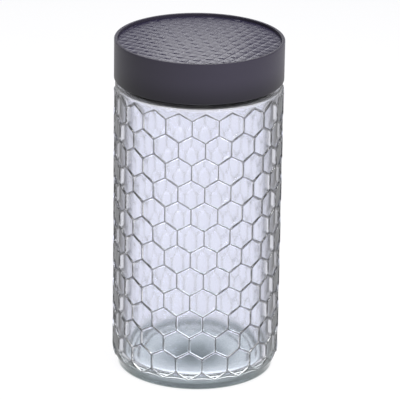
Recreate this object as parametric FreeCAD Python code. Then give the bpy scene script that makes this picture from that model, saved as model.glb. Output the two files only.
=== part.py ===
import FreeCAD, Part
import math
import os

# Glass storage jar with honeycomb walls, and a screw lid of shell, top disc, threaded liner and seal.
# Millimetres and degrees, +Z up. The origin is the middle of the base, on the surface that the jar stands on.

# Glass body
body_radius = 53.0  # over the raised honeycomb lines
body_height = 185.8  # from the base to the start of the shoulder's curve
wall = 3.0  # glass behind the middle of a pane
base_thickness = 7.0  # inside floor above the standing surface
base_ring_width = 9.0  # flat ring that the jar stands on
push_up = 1.8  # height of the hollow under the base
push_up_slope = 3.0  # width of the slope between the ring and the hollow
push_up_round = 2.0
heel_inset = 4.4  # how far the heel draws in, at the standing surface
heel_rise = 8.0
heel_round = 15.0
foot_round = 2.0
floor_round = 6.0
shoulder_round = 5.0
shoulder_wall = 4.2  # glass between the shoulder's top and its underside
shoulder_inside_round = 2.2
throat_round = 2.0
neck_step = 0.4  # flat between the shoulder's curve and the neck
neck_height = 18.8
neck_wall = 3.0
mouth_round = 1.0

# Honeycomb: flat panes sunk between raised lines
pane_columns = 20
pane_depth = 1.0  # from the top of a line to the middle of a pane
line_foot_width = 1.25
line_top_width = 0.5
pattern_turn = 4.94  # angle of a top-row pane from -Y towards +X
pattern_top_gap = 1.7  # from the shoulder's curve down to the peaks of the top row
pattern_bottom_gap = 7.6  # from the base up to the lowest corners of the bottom row

# Thread: several short coarse starts, on the neck's outside and the liner's inside
thread_starts = 4
thread_lead = 20.0  # rise in one full turn
thread_depth = 1.6
thread_root_width = 2.2
thread_crest_width = 1.2
thread_top_gap = 4.0  # from the mouth's rim down to the neck thread
thread_sink = 0.5  # depth to which a thread is rooted in its wall
neck_thread_sweep = 100.0
liner_thread_sweep = 60.0
liner_thread_lag = 12.0  # angle from the foot of a neck thread to the foot of the liner's thread under it
thread_clearance = 0.4  # between a thread's crest and the other wall
flank_clearance = 0.3  # between the two threads, along the axis

# Lid liner and seal
liner_wall = 2.1
liner_deck = 1.6
plug_wall = 1.4  # ring that centres the liner inside the mouth
plug_depth = 5.0
plug_clearance = 0.6
plug_round = 0.5
seal_thickness = 1.5
seal_clearance = 0.3
seal_round = 0.3

# Lid shell and top disc
shell_wall = 1.1
shell_deck = 0.8
shell_clearance = 0.2  # between the liner and the shell round it
hem_reach = 0.5  # how far the turned-in lower edge holds under the liner
hem_round = 0.4
hem_clearance = 0.35  # between the lower edge and the glass shoulder
rim_width = 2.0
rim_height = 1.5  # rim above the disc
rim_outside_round = 0.7
rim_inside_round = 0.4
disc_thickness = 0.9
disc_clearance = 0.15
disc_round = 0.3

overrun = 0.2  # how far a cutting shape stands clear of the glass
shortest_edge = 0.001
full_turn = 360.0

# Places that follow from the sizes above
origin = FreeCAD.Vector(0, 0, 0)
upright = FreeCAD.Vector(0, 0, 1)
inner_radius = body_radius - pane_depth - wall
shoulder_top = body_height + shoulder_round
neck_radius = body_radius - shoulder_round - neck_step
mouth_radius = neck_radius - neck_wall
mouth_top = shoulder_top + neck_height
thread_crest_radius = neck_radius + thread_depth
liner_bore = thread_crest_radius + thread_clearance
liner_radius = liner_bore + liner_wall
skirt_bore = liner_radius + shell_clearance
lid_radius = skirt_bore + shell_wall
hem_radius = liner_radius - hem_reach
liner_underside = mouth_top + seal_thickness
liner_top = liner_underside + liner_deck
deck_top = liner_top + shell_deck
disc_top = deck_top + disc_thickness
lid_top = disc_top + rim_height

# The lid stops where its turned-in lower edge comes near the round shoulder
shoulder_centre = body_radius - shoulder_round
edge_reach = min(shoulder_round, hem_radius - hem_clearance - shoulder_centre)
lid_bottom = body_height + math.sqrt(shoulder_round**2 - edge_reach**2)

# As many rows of nearly regular six-sided panes as best fill the height between the two gaps
pane_half_width = math.pi * body_radius / pane_columns
pattern_height = body_height - pattern_top_gap - pattern_bottom_gap
pane_rows = round((pattern_height * math.sqrt(3) / (2 * pane_half_width) - 0.5) / 1.5)
pane_side = pattern_height / (1.5 * pane_rows + 0.5)
row_pitch = 1.5 * pane_side

# Both threads have the same section, so their flanks stay parallel
thread_flank_slope = (thread_root_width - thread_crest_width) / (2 * thread_depth)
thread_engagement = thread_root_width - thread_flank_slope * (thread_depth + thread_clearance)
neck_thread_rise = thread_lead * neck_thread_sweep / full_turn
neck_thread_foot = mouth_top - thread_top_gap - thread_root_width / 2 - neck_thread_rise
liner_thread_climb = thread_lead * liner_thread_lag / full_turn
liner_thread_foot = neck_thread_foot + liner_thread_climb - thread_engagement - flank_clearance


def rounded_face(corners):
    """Face in the XZ plane through (radius, height, rounding) corners, each rounded by an arc."""
    points = [FreeCAD.Vector(radius, 0, height) for radius, height, rounding in corners]
    count = len(points)
    runs = [points[(i + 1) % count] - points[i] for i in range(count)]
    ways = [FreeCAD.Vector(run).normalize() for run in runs]
    half_turns = [ways[i - 1].getAngle(ways[i]) / 2 for i in range(count)]
    tangents = [corners[i][2] * math.tan(half_turns[i]) for i in range(count)]
    room = [run.Length / max(run.Length, tangents[i] + tangents[(i + 1) % count]) for i, run in enumerate(runs)]
    edges = []
    arc_ends = []
    for i, point in enumerate(points):
        tangent = tangents[i] * min(room[i - 1], room[i])
        before = point - ways[i - 1] * tangent
        after = point + ways[i] * tangent
        arc_ends.append((before, after))
        if tangent > shortest_edge:
            chord_middle = (before + after) / 2
            sagitta = tangent * math.tan(half_turns[i] / 2) * math.cos(half_turns[i])
            outwards = (point - chord_middle).normalize()
            edges.append(Part.Arc(before, chord_middle + outwards * sagitta, after).toShape())
    for i in range(count):
        start = arc_ends[i][1]
        finish = arc_ends[(i + 1) % count][0]
        if start.distanceToPoint(finish) > shortest_edge:
            edges.append(Part.makeLine(start, finish))
    return Part.Face(Part.Wire(Part.sortEdges(edges)[0]))


def turned(corners):
    """Solid of revolution about Z from (radius, height, rounding) corners."""
    return rounded_face(corners).revolve(origin, upright, full_turn)


def pane_outline(distance, line_half_width):
    """Six-sided outline of a pane in the plane at this distance from the jar's axis."""
    half_column = math.pi / pane_columns
    slant = math.atan2(pane_side / 2, pane_half_width)
    upright_side = (distance * math.sin(half_column) - line_half_width) / math.cos(half_column)
    peak = pane_side - line_half_width / math.cos(slant)
    corner = peak - upright_side * math.tan(slant)
    points = [
        FreeCAD.Vector(distance, 0, peak),
        FreeCAD.Vector(distance, upright_side, corner),
        FreeCAD.Vector(distance, upright_side, -corner),
        FreeCAD.Vector(distance, 0, -peak),
        FreeCAD.Vector(distance, -upright_side, -corner),
        FreeCAD.Vector(distance, -upright_side, corner),
    ]
    return Part.makePolygon(points + points[:1])


def honeycomb_cutters():
    """Tapered six-sided plugs, one for each pane, in staggered rows from the top of the pattern down."""
    outlines = [
        pane_outline(body_radius - pane_depth, line_foot_width / 2),
        pane_outline(body_radius + overrun, line_top_width / 2),
    ]
    plug = Part.makeLoft(outlines, True, True)
    plug.rotate(origin, upright, pattern_turn - full_turn / 4)
    top_row = body_height - pattern_top_gap - pane_side
    plugs = []
    for row in range(pane_rows):
        stagger = (row % 2) / 2
        for column in range(pane_columns):
            pane = plug.copy()
            pane.rotate(origin, upright, (column + stagger) * full_turn / pane_columns)
            pane.translate(upright * (top_row - row * row_pitch))
            plugs.append(pane)
    return Part.makeCompound(plugs)


def thread_starts_round(wall_radius, inward, foot_height, foot_angle, sweep):
    """The starts of one thread, rooted in a wall of this radius; inward is -1 on a neck and 1 in a bore."""
    sunk = wall_radius + inward * thread_sink
    crest = wall_radius - inward * thread_depth
    half_root = thread_root_width / 2 + thread_flank_slope * thread_sink
    half_crest = thread_crest_width / 2
    corners = [(sunk, -half_root), (crest, -half_crest), (crest, half_crest), (sunk, half_root)]
    points = [FreeCAD.Vector(radius, 0, height) for radius, height in corners]
    section = Part.makePolygon(points + points[:1])
    path = Part.Wire(Part.makeHelix(thread_lead, thread_lead * sweep / full_turn, wall_radius))
    ridge = path.makePipeShell([section], True, True)
    ridge.translate(upright * foot_height)
    starts = []
    for start in range(thread_starts):
        copy = ridge.copy()
        copy.rotate(origin, upright, foot_angle + start * full_turn / thread_starts)
        starts.append(copy)
    return starts


def jar_body():
    """Pressed glass body: hollow, with a threaded neck and the honeycomb sunk into its outside."""
    ring_outside = body_radius - heel_inset
    ring_inside = ring_outside - base_ring_width
    shoulder_underside = shoulder_top - shoulder_wall
    glass = turned(
        [
            (0, push_up, 0),
            (ring_inside - push_up_slope, push_up, push_up_round),
            (ring_inside, 0, push_up_round),
            (ring_outside, 0, foot_round),
            (body_radius, heel_rise, heel_round),
            (body_radius, shoulder_top, shoulder_round),
            (neck_radius, shoulder_top, 0),
            (neck_radius, mouth_top, mouth_round),
            (mouth_radius, mouth_top, mouth_round),
            (mouth_radius, shoulder_underside, throat_round),
            (inner_radius, shoulder_underside, shoulder_inside_round),
            (inner_radius, base_thickness, floor_round),
            (0, base_thickness, 0),
        ]
    )
    threads = thread_starts_round(neck_radius, -1, neck_thread_foot, 0, neck_thread_sweep)
    return glass.fuse(threads).cut(honeycomb_cutters())


def lid_seal():
    """Flat ring between the glass rim and the liner, loose round the liner's plug."""
    inside = mouth_radius - plug_clearance + seal_clearance
    outside = liner_bore - seal_clearance
    return turned(
        [
            (inside, mouth_top, seal_round),
            (outside, mouth_top, seal_round),
            (outside, liner_underside, 0),
            (inside, liner_underside, 0),
        ]
    )


def lid_inner_cap():
    """Moulded liner: deck, outer wall with the thread, and the plug that centres it in the mouth."""
    plug_radius = mouth_radius - plug_clearance
    plug_foot = liner_underside - plug_depth
    cap = turned(
        [
            (0, liner_underside, 0),
            (plug_radius - plug_wall, liner_underside, 0),
            (plug_radius - plug_wall, plug_foot, plug_round),
            (plug_radius, plug_foot, plug_round),
            (plug_radius, liner_underside, 0),
            (liner_bore, liner_underside, 0),
            (liner_bore, lid_bottom + shell_wall, 0),
            (liner_radius, lid_bottom + shell_wall, 0),
            (liner_radius, liner_top, 0),
            (0, liner_top, 0),
        ]
    )
    threads = thread_starts_round(liner_bore, 1, liner_thread_foot, liner_thread_lag, liner_thread_sweep)
    return cap.fuse(threads)


def lid_shell():
    """Drawn sleeve with a raised rim round its deck; its lower edge is turned in under the liner."""
    rim_inside = lid_radius - rim_width
    return turned(
        [
            (0, liner_top, 0),
            (skirt_bore, liner_top, 0),
            (skirt_bore, lid_bottom + shell_wall, 0),
            (hem_radius, lid_bottom + shell_wall, 0),
            (hem_radius, lid_bottom, hem_round),
            (lid_radius, lid_bottom, hem_round),
            (lid_radius, lid_top, rim_outside_round),
            (rim_inside, lid_top, rim_inside_round),
            (rim_inside, deck_top, 0),
            (0, deck_top, 0),
        ]
    )


def lid_top_disc():
    """Disc that lies on the shell's deck, sunk inside the rim."""
    radius = lid_radius - rim_width - disc_clearance
    return turned([(0, deck_top, 0), (radius, deck_top, 0), (radius, disc_top, disc_round), (0, disc_top, 0)])


os.makedirs("parts", exist_ok=True)
for piece in (jar_body, lid_seal, lid_inner_cap, lid_shell, lid_top_disc):
    shape = piece()
    shape.exportStep(f"parts/{piece.__name__}.step")
    print(piece.__name__, len(shape.Solids), "solid", round(shape.Volume), "mm3", "valid", shape.isValid())
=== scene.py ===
import math

import bmesh
import bpy
from mathutils import Matrix, Vector


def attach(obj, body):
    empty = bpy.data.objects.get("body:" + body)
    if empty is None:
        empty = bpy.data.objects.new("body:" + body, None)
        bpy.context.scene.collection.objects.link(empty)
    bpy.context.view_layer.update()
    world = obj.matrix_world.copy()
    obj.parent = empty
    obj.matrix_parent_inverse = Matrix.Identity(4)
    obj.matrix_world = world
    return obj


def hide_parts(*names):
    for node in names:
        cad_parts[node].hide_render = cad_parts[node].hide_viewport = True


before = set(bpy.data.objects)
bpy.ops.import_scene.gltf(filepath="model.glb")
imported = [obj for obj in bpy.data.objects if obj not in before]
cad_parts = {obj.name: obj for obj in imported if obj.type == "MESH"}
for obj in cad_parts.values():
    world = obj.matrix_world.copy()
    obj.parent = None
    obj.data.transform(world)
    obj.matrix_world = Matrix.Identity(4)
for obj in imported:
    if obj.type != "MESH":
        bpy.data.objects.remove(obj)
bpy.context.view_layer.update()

# The jar is one piece of soda-lime glass, pressed in a mould: flat six-sided panes sunk between raised lines,
# a round shoulder, a neck with four short starts of thread, and a thick base that stands on a knurled ring.
axis_point = (0, 0, 0)
upright = (0, 0, 1)
body_radius = 0.053
body_height = 0.1858
inner_radius = 0.049
shoulder_top = 0.1908
shoulder_round = 0.0042
shoulder_underside = 0.1866
neck_radius = 0.0476
mouth_radius = 0.0446
mouth_top = 0.2096
mouth_round = 0.001
throat_round = 0.002
shoulder_inside_round = 0.0022
floor_height = 0.007
floor_round = 0.006
heel_round = 0.015
heel_top = 0.01185
heel_heights = (0.0060, 0.0052, 0.0044)
ring_outside = 0.0486
ring_inside = 0.0396
ring_round = 0.0012
knurl_outside = 0.0472
knurl_inside = 0.0432
knurl_gap = 0.0002
knurl_depth = 0.0008
foot_round = 0.002
push_up = 0.0018
push_up_radius = 0.0366
pane_columns = 20
pane_rows = 12
pane_floor = 0.0519
pane_cuts = 3
pane_shift = (0.0002, -0.00033)
line_half_width = 0.00025
line_flank = 0.00052
line_rise = 0.0008
line_crest_round = 0.00012
line_crest_steps = 3
line_foot_round = 0.0001
line_foot_steps = 1
pattern_top = 0.1841
pattern_bottom = 0.0076
pattern_turn = math.radians(4.94 - 90)
thread_starts = 4
thread_lead = 0.02
thread_depth = 0.0016
thread_root_width = 0.0022
thread_crest_width = 0.0012
thread_fade = math.radians(9)
neck_thread_foot = 0.19894
neck_thread_sweep = math.radians(100)
neck_cuts = 44
mouth_cuts = 8
wall_cuts = 40
floor_cuts = 10
steps_per_radian = 6
fewest_steps = 3
flat_pane_corners = 12
weld = 0.00001

pane_half_width = math.pi * body_radius / pane_columns
pane_side = (pattern_top - pattern_bottom) / (1.5 * pane_rows + 0.5)
half_column = math.pi / pane_columns
turn_steps = pane_columns * 2 * (pane_cuts + 1)

# Colours are (red, green, blue, alpha). Radii and heights are in metres, and facing runs from 0,
# where the glass is seen square on, to 1, where it is seen edge on.
pale_glass = (0.838, 0.850, 0.925, 1)
paler_glass = (0.878, 0.888, 0.955, 1)
# Painted highlight: the flanks of the raised lines are left almost clear so that they read as white lines.
painted_flank_highlight = (0.985, 0.985, 0.99, 1)
# Painted shade: the raised lines are tinted near black, darker still at the sides.
painted_line_shade = (0.09, 0.09, 0.10, 1)
painted_side_line_shade = (0.02, 0.02, 0.024, 1)
# Painted shade: glass seen at a slant is tinted grey, greener and darker near the foot.
painted_side_shade = (0.21, 0.21, 0.23, 1)
painted_low_side_shade = (0.10, 0.13, 0.13, 1)
# Painted shade: glass seen almost edge on is tinted near black.
painted_edge_shade = (0.045, 0.05, 0.05, 1)
# Painted highlight: the shoulder band is left almost clear so that it reads near white.
painted_shoulder_highlight = (0.98, 0.98, 0.985, 1)
# Green of the thick heel glass, darkened further by painted shade.
green_heel_and_shade = (0.09, 0.13, 0.13, 1)
base_glass = (0.92, 0.97, 0.97, 1)
# Painted shade: a dark matt surface mixed in where the glass is seen edge on.
painted_outline_shade = (0.02, 0.022, 0.025, 1)
inside_radii = (0.0495, 0.0503)
outside_radii = (0.0505, 0.0515)
line_radii = (0.0527, 0.0530)
heel_radii = (0.042, 0.05)
base_radii = (0.0445, 0.0480)
low_side_heights = (0.004, 0.03)
shoulder_heights = (0.183, 0.187)
heel_tint_and_shade_heights = (0.003, 0.011)
base_heights = (0.0025, 0.0045)
side_facing = (0.41, 0.66)
edge_facing = (0.64, 0.86)
outline_facing = (0.58, 0.95)
outline_share = 0.65
ripple_scale = 55.0
chill_scale = 420.0
tint_scale = 18.0
outside_ripple = 0.5
inside_ripple = 1.5
chill_share = 0.1
glass_relief = 0.0008
glass_relief_strength = 0.15
inside_roughness = 0.16
chill_roughness = 0.03
chill_limits = (0.45, 0.8)
glass_ior = 1.5


def heel_radius(height):
    """Outside radius of the glass at a height, drawn in along the heel's curve."""
    drop = max(0, heel_top - height)
    return body_radius - heel_round + math.sqrt(heel_round**2 - drop**2)


def turned(mesh, corners, cuts=None):
    """Spins a line of (radius, height, rounding) corners about the jar's axis; cuts divide the run from a corner."""
    start = Matrix.Rotation(pattern_turn, 3, "Z")
    points = [mesh.verts.new(start @ Vector((radius, 0, height))) for radius, height, rounding in corners]
    places = [point.co.copy() for point in points]
    for pair in zip(points, points[1:]):
        mesh.edges.new(pair)
    for i, (radius, height, rounding) in enumerate(corners):
        if rounding:
            bend = (places[i] - places[i - 1]).angle(places[i + 1] - places[i])
            bmesh.ops.bevel(
                mesh,
                geom=[points[i]],
                offset=rounding * math.tan(bend / 2),
                offset_type="OFFSET",
                segments=max(fewest_steps, round(bend * steps_per_radian)),
                profile=0.5,
                affect="VERTICES",
                material=-1,
            )
    for run, count in (cuts or {}).items():
        middle = (places[run] + places[run + 1]) / 2
        loose = [edge for edge in mesh.edges if not edge.link_faces]
        straight = min(loose, key=lambda edge: sum((p.co - middle).length for p in edge.verts) - edge.calc_length())
        bmesh.ops.subdivide_edges(mesh, edges=[straight], cuts=count)
    loose = [edge for edge in mesh.edges if not edge.link_faces]
    ends = {point for edge in loose for point in edge.verts}
    before = set(mesh.faces)
    bmesh.ops.spin(
        mesh, geom=list(ends) + loose, cent=axis_point, axis=upright, angle=math.tau, steps=turn_steps, use_merge=True
    )
    faces = [face for face in mesh.faces if face not in before]
    spun = {point for face in faces for point in face.verts}
    bmesh.ops.remove_doubles(mesh, verts=list(spun), dist=weld)
    return [face for face in faces if face.is_valid]


def raise_thread(points, wall_radius, inward, foot, sweep, first_angle):
    """Swells the points of a cylindrical wall into short sloping threads that fade out at both ends."""
    for point in points:
        angle = math.atan2(point.co.y, point.co.x) - first_angle
        swell = 0
        for start in range(thread_starts):
            along = (angle - start * math.tau / thread_starts + thread_fade) % math.tau - thread_fade
            off = abs(point.co.z - foot - thread_lead * along / math.tau)
            flank = (thread_root_width / 2 - off) / ((thread_root_width - thread_crest_width) / 2)
            ends = min(along, sweep - along) / thread_fade + 1
            swell = max(swell, min(1, max(0, flank)) * min(1, max(0, ends)))
        reach = wall_radius - inward * thread_depth * swell
        point.co.xy = point.co.xy.normalized() * reach


def finished(mesh, name, body, node, material):
    """Makes the mesh an object that stands for a CAD node and rides on its body."""
    data = bpy.data.meshes.new(name)
    mesh.to_mesh(data)
    mesh.free()
    data.materials.append(material)
    piece = bpy.data.objects.new(name, data)
    bpy.context.scene.collection.objects.link(piece)
    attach(piece, body)
    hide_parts(node)


class Shade:
    """An output socket in a node tree: sums on it add Math nodes, and node() adds any other node."""

    def __init__(self, tree, socket=None):
        self.tree = tree
        self.socket = socket

    def node(self, kind, settings=None, values=None, output=0):
        made = self.tree.nodes.new(kind)
        for name, value in (settings or {}).items():
            setattr(made, name, value)
        for name, value in (values or {}).items():
            if isinstance(value, Shade):
                self.tree.links.new(value.socket, made.inputs[name])
            else:
                made.inputs[name].default_value = value
        return Shade(self.tree, made.outputs[output] if len(made.outputs) else None)

    def sum(self, operation, *terms):
        return self.node("ShaderNodeMath", {"operation": operation}, dict(enumerate(terms)))

    def __add__(self, other):
        return self.sum("ADD", self, other)

    __radd__ = __add__

    def __sub__(self, other):
        return self.sum("SUBTRACT", self, other)

    def __rsub__(self, other):
        return self.sum("SUBTRACT", other, self)

    def __mul__(self, other):
        return self.sum("MULTIPLY", self, other)

    __rmul__ = __mul__

    def step(self, low, high):
        """Runs smoothly from 0 at low to 1 at high."""
        return self.node(
            "ShaderNodeMapRange",
            {"interpolation_type": "SMOOTHSTEP"},
            {"Value": self, "From Min": low, "From Max": high},
        )

    def between(self, first, second):
        """Colour that goes from the first to the second as this value goes from 0 to 1."""
        return self.node("ShaderNodeMix", {"data_type": "RGBA"}, {0: self, 6: first, 7: second}, 2)


def surface(name):
    """New material with an empty node tree to shade."""
    material = bpy.data.materials.new(name)
    material.use_nodes = True
    material.node_tree.nodes.clear()
    return material, Shade(material.node_tree)


# One pane stands in the plane x = constant: its inset floor is flat, its outline lies on the round of the body.
glass = bmesh.new()
standing = Matrix(((0, 0, 1, 0), (1, 0, 0, 0), (0, 1, 0, 0), (0, 0, 0, 1)))
widened = Matrix.Diagonal((pane_half_width / (pane_side * math.sin(math.pi / 3)), 1, 1, 1))
bmesh.ops.create_circle(glass, cap_ends=True, segments=6, radius=pane_side, matrix=standing @ widened)
bmesh.ops.subdivide_edges(glass, edges=glass.edges[:], cuts=pane_cuts)
for width in (line_half_width, line_flank):
    pane = max(glass.faces, key=lambda face: face.calc_area())
    bmesh.ops.inset_individual(glass, faces=[pane], thickness=width, use_even_offset=True)
pane = max(glass.faces, key=lambda face: face.calc_area())
for point in glass.verts:
    if point in pane.verts:
        point.co.x = pane_floor
        point.co.y = point.co.y * pane_floor / body_radius + pane_shift[0]
        point.co.z += pane_shift[1]
    else:
        angle = point.co.y / body_radius
        point.co.x = body_radius * math.cos(angle)
        point.co.y = body_radius * math.sin(angle)
bmesh.ops.spin(
    glass,
    geom=glass.verts[:] + glass.edges[:] + glass.faces[:],
    cent=axis_point,
    axis=upright,
    angle=math.tau * (1 - 1 / pane_columns),
    steps=pane_columns - 1,
    use_duplicate=True,
)
bmesh.ops.rotate(glass, verts=glass.verts, cent=axis_point, matrix=Matrix.Rotation(pattern_turn, 3, "Z"))
bmesh.ops.translate(glass, verts=glass.verts, vec=(0, 0, pattern_top - pane_side))
row = glass.verts[:] + glass.edges[:] + glass.faces[:]
for count in range(1, pane_rows):
    row = bmesh.ops.duplicate(glass, geom=row)["geom"]
    points = [item for item in row if isinstance(item, bmesh.types.BMVert)]
    bmesh.ops.rotate(glass, verts=points, cent=axis_point, matrix=Matrix.Rotation(half_column, 3, "Z"))
    bmesh.ops.translate(glass, verts=points, vec=(0, 0, -1.5 * pane_side))
bmesh.ops.remove_doubles(glass, verts=glass.verts, dist=weld)
panes = [face for face in glass.faces if len(face.verts) > 4]

# The top and bottom zigzag edges of the honeycomb get the outer half of their line.
middle = (pattern_top + pattern_bottom) / 2
belt = []
for way in (1, -1):
    edges = [edge for edge in glass.edges if edge.is_boundary and (edge.verts[0].co.z - middle) * way > 0]
    for rise, drop in ((line_half_width, 0), (line_flank, line_rise)):
        made = bmesh.ops.extrude_edge_only(glass, edges=edges)["geom"]
        points = [item for item in made if isinstance(item, bmesh.types.BMVert)]
        bmesh.ops.translate(glass, verts=points, vec=(0, 0, way * rise))
        bmesh.ops.scale(glass, verts=points, vec=(1 - drop / body_radius, 1 - drop / body_radius, 1))
        edges = [item for item in made if isinstance(item, bmesh.types.BMEdge) and item.is_boundary]
    belt.append(edges)
belt_top, belt_foot = belt
crest = {point for point in glass.verts if point.co.xy.length > body_radius - weld}
crest_lines = [
    edge
    for edge in glass.edges
    if crest.issuperset(edge.verts) and any(not crest.issuperset(face.verts) for face in edge.link_faces)
]
foot_lines = list({edge for face in panes for edge in face.edges})
sunk = {point for face in panes for point in face.verts}
flank_mark = glass.faces.layers.float.new("flank")
for face in glass.faces:
    face[flank_mark] = float(not crest.isdisjoint(face.verts) and not crest.issuperset(face.verts))
for point in glass.verts:
    if point not in sunk:
        point.co.xy *= heel_radius(point.co.z) / body_radius

upper = turned(
    glass,
    [
        (body_radius - line_rise, body_height, 0),
        (body_radius - line_rise, shoulder_top, shoulder_round),
        (neck_radius, shoulder_top, 0),
        (neck_radius, mouth_top, mouth_round),
        (mouth_radius, mouth_top, mouth_round),
        (mouth_radius, shoulder_underside, throat_round),
        (inner_radius, shoulder_underside, shoulder_inside_round),
        (inner_radius, floor_height, floor_round),
        (0, floor_height, 0),
    ],
    {2: neck_cuts, 4: mouth_cuts, 6: wall_cuts, 7: floor_cuts},
)
neck_points = {
    point
    for face in upper
    for point in face.verts
    if abs(point.co.xy.length - neck_radius) < weld and shoulder_top + weld < point.co.z < mouth_top - mouth_round
}
raise_thread(neck_points, neck_radius, -1, neck_thread_foot, neck_thread_sweep, 0)
upper_edge = [edge for face in upper for edge in face.edges if edge.is_boundary]
bmesh.ops.bridge_loops(glass, edges=belt_top + list(set(upper_edge)))

under = turned(
    glass,
    [(heel_radius(height) - line_rise, height, 0) for height in heel_heights]
    + [
        (ring_outside, 0, foot_round),
        (knurl_outside, 0, 0),
        (knurl_inside, 0, 0),
        (ring_inside, 0, ring_round),
        (push_up_radius, push_up, foot_round),
        (0, push_up, 0),
    ],
    {7: floor_cuts},
)
under_edge = [edge for face in under for edge in face.edges if edge.is_boundary]
bmesh.ops.bridge_loops(glass, edges=belt_foot + list(set(under_edge)))
standing_points = {
    point
    for face in under
    for point in face.verts
    if abs(point.co.z) < weld and knurl_inside - weld < point.co.xy.length < knurl_outside + weld
}
knurl = [face for face in under if standing_points.issuperset(face.verts)]
knurl = sorted(knurl, key=lambda face: math.atan2(*face.calc_center_median().xy))[::2]
bmesh.ops.inset_individual(glass, faces=knurl, thickness=knurl_gap)
bmesh.ops.translate(glass, verts=list({point for face in knurl for point in face.verts}), vec=(0, 0, knurl_depth))

for lines, rounding, steps in (
    (crest_lines, line_crest_round, line_crest_steps),
    (foot_lines, line_foot_round, line_foot_steps),
):
    bmesh.ops.bevel(glass, geom=lines, offset=rounding, segments=steps, profile=0.5, affect="EDGES", material=-1)
bmesh.ops.recalc_face_normals(glass, faces=glass.faces)
for face in glass.faces:
    face.smooth = len(face.verts) < flat_pane_corners

# The glass colour holds painted light and shade for the room that bends in the glass: a painted highlight on the
# line flanks and shoulder, painted shade on the lines, sides and edges, and a green heel darkened by painted shade.
clear_glass, paint = surface("clear_glass")
place = paint.node("ShaderNodeTexCoord", output="Object")
ripple = paint.node("ShaderNodeTexNoise", None, {"Vector": place, "Scale": ripple_scale, "Detail": 1.0})
chill = paint.node("ShaderNodeTexNoise", None, {"Vector": place, "Scale": chill_scale, "Detail": 2.0})
tint = paint.node("ShaderNodeTexNoise", None, {"Vector": place, "Scale": tint_scale})
level = paint.node("ShaderNodeVectorMath", {"operation": "MULTIPLY"}, {0: place, 1: (1, 1, 0)})
reach = paint.node("ShaderNodeVectorMath", {"operation": "LENGTH"}, {0: level}, "Value")
inside = 1 - reach.step(*inside_radii)
waves = ripple * (outside_ripple + inside_ripple * inside) + chill * chill_share
bump = paint.node(
    "ShaderNodeBump", None, {"Height": waves, "Strength": glass_relief_strength, "Distance": glass_relief}
)
height = paint.node("ShaderNodeSeparateXYZ", None, {"Vector": place}, "Z")
slant = paint.node("ShaderNodeLayerWeight", None, {"Blend": 0.5}, "Facing")
flank = paint.node("ShaderNodeAttribute", {"attribute_name": "flank"}, None, "Fac")
wall = tint.between(pale_glass, paler_glass)
# Painted highlight: the flanks of the raised lines are tinted almost clear.
wall = flank.between(wall, painted_flank_highlight)
# Painted shade: glass seen at a slant is tinted grey, greener and darker near the foot.
side = slant.step(*side_facing)
wall = side.between(wall, height.step(*low_side_heights).between(painted_low_side_shade, painted_side_shade))
# Painted shade: glass seen almost edge on is tinted near black.
wall = slant.step(*edge_facing).between(wall, painted_edge_shade)
# Painted shade: the crests of the raised lines are tinted dark, darker where the glass is seen at a slant.
wall = reach.step(*line_radii).between(wall, side.between(painted_line_shade, painted_side_line_shade))
# Painted highlight: the shoulder band is tinted almost clear.
wall = height.step(*shoulder_heights).between(wall, painted_shoulder_highlight)
# The low outer heel is tinted green and darkened by painted shade.
heel = (1 - height.step(*heel_tint_and_shade_heights)) * reach.step(*heel_radii)
wall = heel.between(wall, green_heel_and_shade)
under_side = (1 - height.step(*base_heights)) * (1 - reach.step(*base_radii))
wall = under_side.between(wall, base_glass)
body = paint.node(
    "ShaderNodeBsdfPrincipled",
    None,
    {
        "Base Color": wall,
        "Roughness": inside * inside_roughness + chill.step(*chill_limits) * chill_roughness,
        "IOR": glass_ior,
        "Transmission Weight": 1.0,
        "Normal": bump,
    },
)
# Painted shade: at the outline a dark matt surface is mixed into the glass.
dark = paint.node("ShaderNodeBsdfDiffuse", None, {"Color": painted_outline_shade})
outline = slant.step(*outline_facing) * reach.step(*outside_radii) * outline_share
body = paint.node("ShaderNodeMixShader", None, {0: outline, 1: body, 2: dark})
paint.node("ShaderNodeOutputMaterial", None, {"Surface": body})
finished(glass, "glass_jar", "jar", "jar_body", clear_glass)

# The seal is a flat ring of milky silicone, stamped from sheet; it lies loose in the liner
# and is pressed on the glass rim when the lid is screwed down.
seal_inside = 0.0443
seal_outside = 0.0493
seal_bottom = 0.2096
seal_top = 0.2111
seal_round = 0.0003
milky = (0.70, 0.70, 0.70, 1)
milky_light = (0.80, 0.80, 0.79, 1)
seal_cloud_scale = 90.0
seal_grain_scale = 2400.0
seal_roughness = 0.45
seal_roughness_spread = 0.15
seal_grain_strength = 0.25
grain_depth = 0.0001

ring = bmesh.new()
turned(
    ring,
    [
        (seal_inside, (seal_bottom + seal_top) / 2, 0),
        (seal_inside, seal_bottom, seal_round),
        (seal_outside, seal_bottom, seal_round),
        (seal_outside, seal_top, seal_round),
        (seal_inside, seal_top, seal_round),
        (seal_inside, (seal_bottom + seal_top) / 2, 0),
    ],
)
bmesh.ops.recalc_face_normals(ring, faces=ring.faces)
for face in ring.faces:
    face.smooth = True
milky_silicone, paint = surface("milky_silicone")
place = paint.node("ShaderNodeTexCoord", output="Object")
cloud = paint.node("ShaderNodeTexNoise", None, {"Vector": place, "Scale": seal_cloud_scale, "Detail": 4.0})
grain = paint.node("ShaderNodeTexNoise", None, {"Vector": place, "Scale": seal_grain_scale})
bump = paint.node(
    "ShaderNodeBump", None, {"Height": grain, "Strength": seal_grain_strength, "Distance": grain_depth}
)
body = paint.node(
    "ShaderNodeBsdfPrincipled",
    None,
    {
        "Base Color": cloud.between(milky, milky_light),
        "Roughness": seal_roughness + grain * seal_roughness_spread,
        "Normal": bump,
    },
)
paint.node("ShaderNodeOutputMaterial", None, {"Surface": body})
finished(ring, "silicone_seal", "seal", "lid_seal", milky_silicone)

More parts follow.
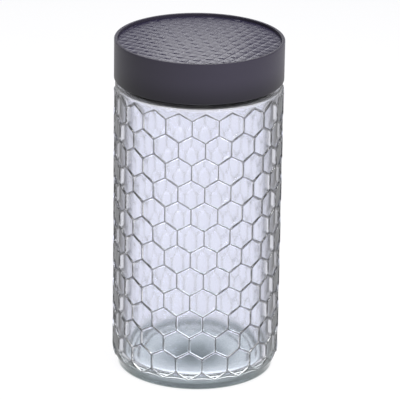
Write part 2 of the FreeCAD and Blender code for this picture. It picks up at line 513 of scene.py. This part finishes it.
# The liner is a moulded cap of charcoal plastic: a deck, an outer wall with four short threads inside it,
# and a plug ring that centres it in the mouth. The shell is pressed over it.
liner_bore = 0.0496
liner_radius = 0.0517
liner_foot = 0.1911
liner_underside = 0.2111
liner_top = 0.2127
plug_inside = 0.0426
plug_outside = 0.0440
plug_foot = 0.2061
plug_round = 0.0005
liner_edge_round = 0.0002
liner_thread_foot = 0.19714
liner_thread_sweep = math.radians(60)
liner_thread_lag = math.radians(12)
liner_thread_margin = 0.0004
liner_cuts = 50
crisp_bend = math.radians(40)
charcoal = (0.034, 0.033, 0.038, 1)
charcoal_light = (0.046, 0.044, 0.051, 1)
liner_cloud_scale = 60.0
liner_grain_scale = 3000.0
liner_grain_strength = 0.2
liner_roughness = 0.36
liner_roughness_spread = 0.16

liner = bmesh.new()
walls = turned(
    liner,
    [
        (0, liner_underside, 0),
        (plug_inside, liner_underside, 0),
        (plug_inside, plug_foot, plug_round),
        (plug_outside, plug_foot, plug_round),
        (plug_outside, liner_underside, 0),
        (liner_bore, liner_underside, 0),
        (liner_bore, liner_foot, liner_edge_round),
        (liner_radius, liner_foot, liner_edge_round),
        (liner_radius, liner_top, liner_edge_round),
        (0, liner_top, 0),
    ],
    {5: liner_cuts},
)
bore_points = {
    point
    for face in walls
    for point in face.verts
    if abs(point.co.xy.length - liner_bore) < weld
    and liner_foot + liner_thread_margin < point.co.z < liner_underside - weld
}
raise_thread(bore_points, liner_bore, 1, liner_thread_foot, liner_thread_sweep, liner_thread_lag)


def soften(mesh, limit):
    """Recalculates the normals and shades the mesh smooth, apart from edges that bend past the limit."""
    bmesh.ops.recalc_face_normals(mesh, faces=mesh.faces)
    for face in mesh.faces:
        face.smooth = True
    for edge in mesh.edges:
        edge.smooth = len(edge.link_faces) == 2 and edge.calc_face_angle() < limit


soften(liner, crisp_bend)
charcoal_plastic, paint = surface("charcoal_plastic")
place = paint.node("ShaderNodeTexCoord", output="Object")
cloud = paint.node("ShaderNodeTexNoise", None, {"Vector": place, "Scale": liner_cloud_scale, "Detail": 3.0})
grain = paint.node("ShaderNodeTexNoise", None, {"Vector": place, "Scale": liner_grain_scale})
bump = paint.node(
    "ShaderNodeBump", None, {"Height": grain, "Strength": liner_grain_strength, "Distance": grain_depth}
)
body = paint.node(
    "ShaderNodeBsdfPrincipled",
    None,
    {
        "Base Color": cloud.between(charcoal, charcoal_light),
        "Roughness": liner_roughness + cloud * liner_roughness_spread,
        "Normal": bump,
    },
)
paint.node("ShaderNodeOutputMaterial", None, {"Surface": body})
finished(liner, "liner_cap", "lid", "lid_inner_cap", charcoal_plastic)

# The shell is drawn from thin sheet, lacquered satin grey: a plain skirt with its lower edge turned in under
# the liner, and a narrow raised rim round the sunk deck.
skirt_bore = 0.0519
lid_radius = 0.053
hem_radius = 0.0512
lid_bottom = 0.18991
hem_height = 0.0011
hem_round = 0.0009
lid_top = 0.2159
deck_top = 0.2135
rim_inside = 0.051
rim_outside_round = 0.0007
rim_inside_round = 0.0004
skirt_cuts = 6
satin = (0.024, 0.021, 0.033, 1)
satin_light = (0.029, 0.026, 0.039, 1)
# Painted shade: the lacquer is darker towards the skirt's lower edge.
painted_foot_shade = (0.010, 0.009, 0.013, 1)
painted_foot_shade_heights = (0.187, 0.206)
lacquer_cloud_scale = 30.0
lacquer_grain_scale = 2600.0
lacquer_grain_strength = 0.12
shell_roughness = 0.40
shell_roughness_spread = 0.08
shell_specular = 0.26

shell = bmesh.new()
turned(
    shell,
    [
        (0, liner_top, 0),
        (skirt_bore, liner_top, 0),
        (skirt_bore, lid_bottom + hem_height, 0),
        (hem_radius, lid_bottom + hem_height, 0),
        (hem_radius, lid_bottom, hem_round),
        (lid_radius, lid_bottom, hem_round),
        (lid_radius, lid_top, rim_outside_round),
        (rim_inside, lid_top, rim_inside_round),
        (rim_inside, deck_top, 0),
        (0, deck_top, 0),
    ],
    {5: skirt_cuts},
)
soften(shell, crisp_bend)


def lacquer(paint):
    """Object coordinates, a soft cloud and the fine grain as a bump, for the lid's lacquer."""
    place = paint.node("ShaderNodeTexCoord", output="Object")
    cloud = paint.node("ShaderNodeTexNoise", None, {"Vector": place, "Scale": lacquer_cloud_scale, "Detail": 3.0})
    grain = paint.node("ShaderNodeTexNoise", None, {"Vector": place, "Scale": lacquer_grain_scale, "Detail": 1.0})
    bump = paint.node(
        "ShaderNodeBump", None, {"Height": grain, "Strength": lacquer_grain_strength, "Distance": grain_depth}
    )
    return place, cloud, bump


satin_grey, paint = surface("satin_grey_lacquer")
place, cloud, bump = lacquer(paint)
# Painted shade: the skirt's colour darkens towards its lower edge.
rise = paint.node("ShaderNodeSeparateXYZ", None, {"Vector": place}, "Z").step(*painted_foot_shade_heights)
body = paint.node(
    "ShaderNodeBsdfPrincipled",
    None,
    {
        "Base Color": rise.between(painted_foot_shade, cloud.between(satin, satin_light)),
        "Roughness": shell_roughness + cloud * shell_roughness_spread,
        "Specular IOR Level": shell_specular,
        "Normal": bump,
    },
)
paint.node("ShaderNodeOutputMaterial", None, {"Surface": body})
finished(shell, "lid_shell_skirt", "lid", "lid_shell", satin_grey)

# The top disc is a sheet embossed with a plain basket weave, one set of strands standing higher than the other;
# it is lacquered like the shell and pressed down inside the rim, where it lies on the deck.
disc_radius = 0.05085
disc_top = 0.2144
tile = 0.0057
tile_steps = 12
weave_relief = 0.0003
weave_sunk = 0.4
weave_fullness = 0.6
weave_edge_power = 6
weave_turn = math.radians(61.3)
weave_crisp_bend = math.radians(50)
tiles_across = 2 * math.ceil(disc_radius / tile) + 1
weave_size = tiles_across * tile / 2
half_step = tile / tile_steps / 2
woven = (0.019, 0.016, 0.036, 1)
woven_light = (0.024, 0.020, 0.043, 1)
disc_roughness = 0.24
disc_roughness_spread = 0.06
disc_specular = 0.15

disc = bmesh.new()
bmesh.ops.create_grid(
    disc, x_segments=tiles_across * tile_steps, y_segments=tiles_across * tile_steps, size=weave_size
)
for point in disc.verts:
    across = (point.co.x + weave_size) / tile
    along = (point.co.y + weave_size) / tile
    column = min(int(across + weld), tiles_across - 1)
    line = min(int(along + weld), tiles_across - 1)
    u = 2 * (across - column) - 1
    v = 2 * (along - line) - 1
    crown = 1 - weave_sunk
    if (column + line) % 2:
        u, v, crown = v, u, 1
    over = math.cos(math.pi / 2 * min(1, abs(u))) ** weave_fullness
    edge = 1 - v**weave_edge_power
    point.co.z = disc_top - weave_relief * (1 - crown * over * edge)
bmesh.ops.rotate(disc, verts=disc.verts, cent=axis_point, matrix=Matrix.Rotation(weave_turn, 3, "Z"))
outside = [point for point in disc.verts if point.co.xy.length > disc_radius + half_step]
bmesh.ops.delete(disc, geom=outside, context="VERTS")
for point in disc.verts:
    if point.is_boundary or point.co.xy.length > disc_radius:
        point.co.xy = point.co.xy.normalized() * disc_radius
        point.co.z = disc_top - weave_relief
border = [edge for edge in disc.edges if edge.is_boundary]
hung = bmesh.ops.extrude_edge_only(disc, edges=border)["geom"]
lower = [item for item in hung if isinstance(item, bmesh.types.BMVert)]
for point in lower:
    point.co.z = deck_top
bmesh.ops.edgeloop_fill(disc, edges=[edge for edge in disc.edges if edge.is_boundary])
soften(disc, weave_crisp_bend)
woven_grey, paint = surface("woven_grey_lacquer")
place, cloud, bump = lacquer(paint)
body = paint.node(
    "ShaderNodeBsdfPrincipled",
    None,
    {
        "Base Color": cloud.between(woven, woven_light),
        "Roughness": disc_roughness + cloud * disc_roughness_spread,
        "Specular IOR Level": disc_specular,
        "Normal": bump,
    },
)
paint.node("ShaderNodeOutputMaterial", None, {"Surface": body})
finished(disc, "woven_top_disc", "lid", "lid_top_disc", woven_grey)

# The floor is a wide sheet of matt white board that glows, a painted pool of light that falls off to pale grey.
# Under the jar it has painted light and shade: a bright ring, a greenish painted shade in the middle, and a thin
# painted contact shadow at the foot.
floor_size = 12
floor_cells = 24
pool_inside = 0.3
pool_outside = 2.4
shade_inside = 0.004
shade_outside = 0.034
contact_inside = 0.042
contact_outside = 0.046
shade_edge = 0.0497
shade_fade = 0.0017
far_board = (0.62, 0.62, 0.63, 1)
lit_board = (0.93, 0.93, 0.94, 1)
shaded_middle = (0.24, 0.33, 0.33, 1)
bright_ring = (1.60, 1.63, 1.65, 1)
contact_shadow = (0.18, 0.22, 0.22, 1)
board_grey = (0.1, 0.1, 0.1, 1)
board_roughness = 0.9
board_specular = 0.1

board = bmesh.new()
bmesh.ops.create_grid(board, x_segments=floor_cells, y_segments=floor_cells, size=floor_size / 2)
board_mesh = bpy.data.meshes.new("floor_board")
board.to_mesh(board_mesh)
board.free()
floor = bpy.data.objects.new("floor_board", board_mesh)
bpy.context.scene.collection.objects.link(floor)
white_board, paint = surface("white_board")
place = paint.node("ShaderNodeTexCoord", output="Object")
foot = paint.node("ShaderNodeVectorMath", {"operation": "LENGTH"}, {0: place}, "Value")
pool = 1 - foot.step(pool_inside, pool_outside)
lit = pool.between(far_board, lit_board)
beneath = foot.step(shade_inside, shade_outside).between(shaded_middle, bright_ring)
beneath = foot.step(contact_inside, contact_outside).between(beneath, contact_shadow)
covered = 1 - foot.step(shade_edge - shade_fade, shade_edge)
lit = covered.between(lit, beneath)
body = paint.node(
    "ShaderNodeBsdfPrincipled",
    None,
    {
        "Base Color": board_grey,
        "Roughness": board_roughness,
        "Specular IOR Level": board_specular,
        "Emission Color": lit,
        "Emission Strength": 1.0,
    },
)
paint.node("ShaderNodeOutputMaterial", None, {"Surface": body})
board_mesh.materials.append(white_board)

# Studio light: a dim room with a bright wall low behind the jar, a large soft box to the front right that
# isn't mirrored in the lid, a weak one above, and a small strip behind the lid that brings out the weave.
room_light = (0.45, 0.45, 0.46, 1)
wall_light = (2.0, 2.0, 2.15, 1)
wall_sides = (0.3, 0.95)
wall_heights = (0.09, 0.46)

world = bpy.data.worlds.new("studio")
world.use_nodes = True
world.node_tree.nodes.clear()
bpy.context.scene.world = world
room = Shade(world.node_tree)
way = room.node("ShaderNodeTexCoord", output="Generated")
behind = room.node("ShaderNodeSeparateXYZ", None, {"Vector": way}, "Y").step(*wall_sides)
height = room.node("ShaderNodeSeparateXYZ", None, {"Vector": way}, "Z")
glow = behind * (1 - height.step(*wall_heights))
light = room.node("ShaderNodeBackground", None, {"Color": glow.between(room_light, wall_light), "Strength": 1.0})
room.node("ShaderNodeOutputWorld", None, {"Surface": light})


def soft_box(name, place, aim, width, height, power, mirrored=True):
    """Rectangular soft light at a place, turned to face a point; glossy surfaces may or may not mirror it."""
    lamp = bpy.data.lights.new(name, "AREA")
    lamp.shape = "RECTANGLE"
    lamp.size = width
    lamp.size_y = height
    lamp.energy = power
    box = bpy.data.objects.new(name, lamp)
    turn = (Vector(aim) - Vector(place)).to_track_quat("-Z", "Y").to_matrix().to_4x4()
    box.matrix_world = Matrix.Translation(place) @ turn
    box.visible_camera = False
    box.visible_glossy = mirrored
    bpy.context.scene.collection.objects.link(box)


soft_box("key_box", place=(1.6, -2.05, 0.6), aim=(0, 0, 0.2), width=1.0, height=1.2, power=92, mirrored=False)
soft_box("top_box", place=(0, 0.05, 0.9), aim=(0, 0, 0.2), width=0.5, height=0.3, power=4)
soft_box("rim_box", place=(0, 0.12, 0.274), aim=(0, -0.04, 0.2144), width=0.06, height=0.02, power=0.016)

# The camera looks down on the jar from the front with a long lens, leaning a little to its left.
camera_height = math.radians(20.6)
camera_distance = 2.003
camera_roll = math.radians(0.89)
camera_lens = 285.75
camera_shift = (0.007, 0.0007)
sensor_width = 36
farthest_view = 60
light_bounces = 24

aim = Vector((0, 0, 0.1085))
lens = bpy.data.cameras.new("camera")
lens.lens = camera_lens
lens.sensor_width = sensor_width
lens.shift_x, lens.shift_y = camera_shift
lens.clip_end = farthest_view
camera = bpy.data.objects.new("camera", lens)
back = Vector((0, -math.cos(camera_height), math.sin(camera_height)))
tilt = Matrix.Rotation(math.pi / 2 - camera_height, 4, "X")
camera.matrix_world = Matrix.Translation(aim + back * camera_distance) @ tilt @ Matrix.Rotation(camera_roll, 4, "Z")
bpy.context.scene.collection.objects.link(camera)
bpy.context.scene.camera = camera
bpy.context.scene.view_settings.view_transform = "Standard"
bpy.context.scene.cycles.max_bounces = light_bounces
bpy.context.scene.cycles.transmission_bounces = light_bounces
